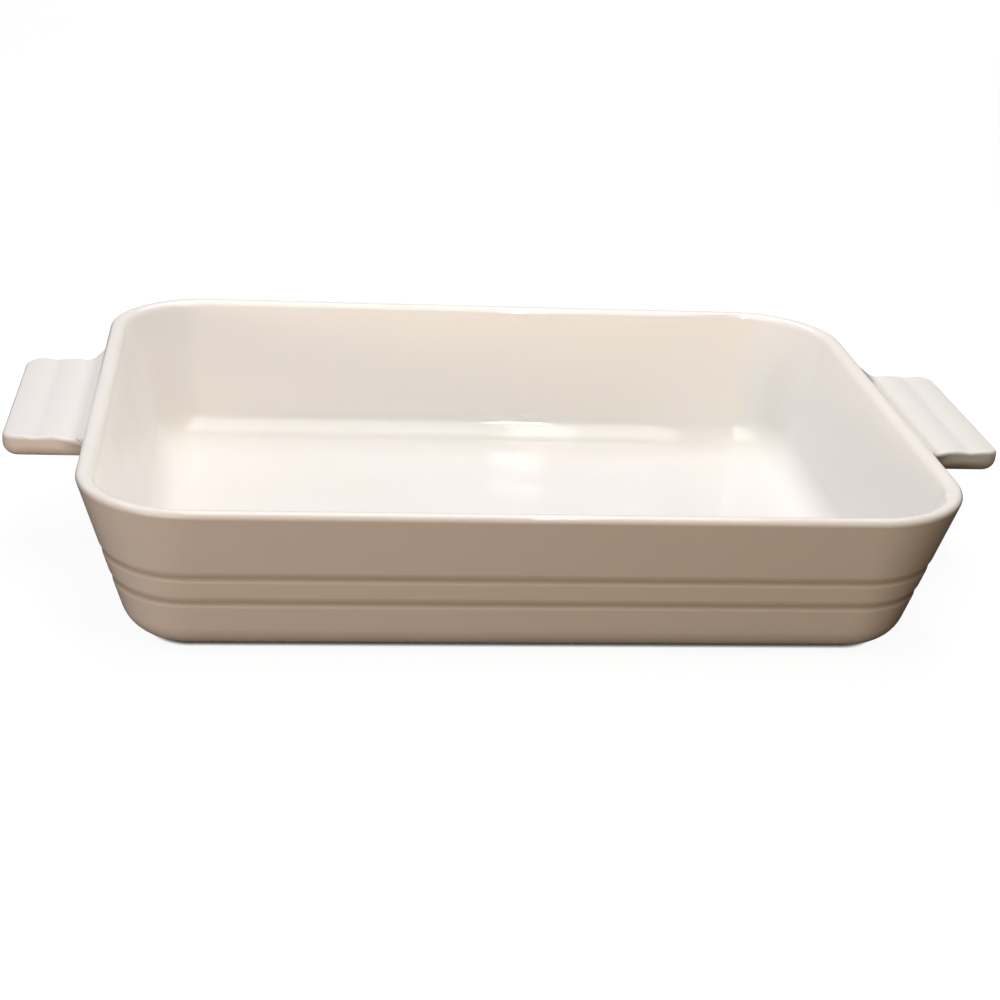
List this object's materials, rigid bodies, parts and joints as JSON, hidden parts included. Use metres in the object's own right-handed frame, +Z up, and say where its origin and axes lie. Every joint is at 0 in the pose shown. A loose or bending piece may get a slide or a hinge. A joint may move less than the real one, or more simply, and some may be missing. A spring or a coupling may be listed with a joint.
{
  "type": "lasagna dish",
  "caption": "Oblong glazed stoneware baking dish with flared, grooved walls, a rounded rim and a flat banded lug handle on each short end.",
  "frame": {"origin": "middle of the dish, on the surface that its foot ring stands on", "axes": "+X along the length, from the left handle to the right handle; +Y towards the back long side; +Z up"},
  "size_m": [0.381, 0.246, 0.062],
  "materials": {
    "stoneware": "matte, bare fired clay",
    "glaze": "gloss, warm white"
  },
  "bodies": {
    "root": {"stoneware_basin": "stoneware", "left_handle": "stoneware", "right_handle": "stoneware", "foot_ring": "stoneware", "inside_glaze": "glaze", "outside_glaze": "glaze"}
  },
  "joints": []
}
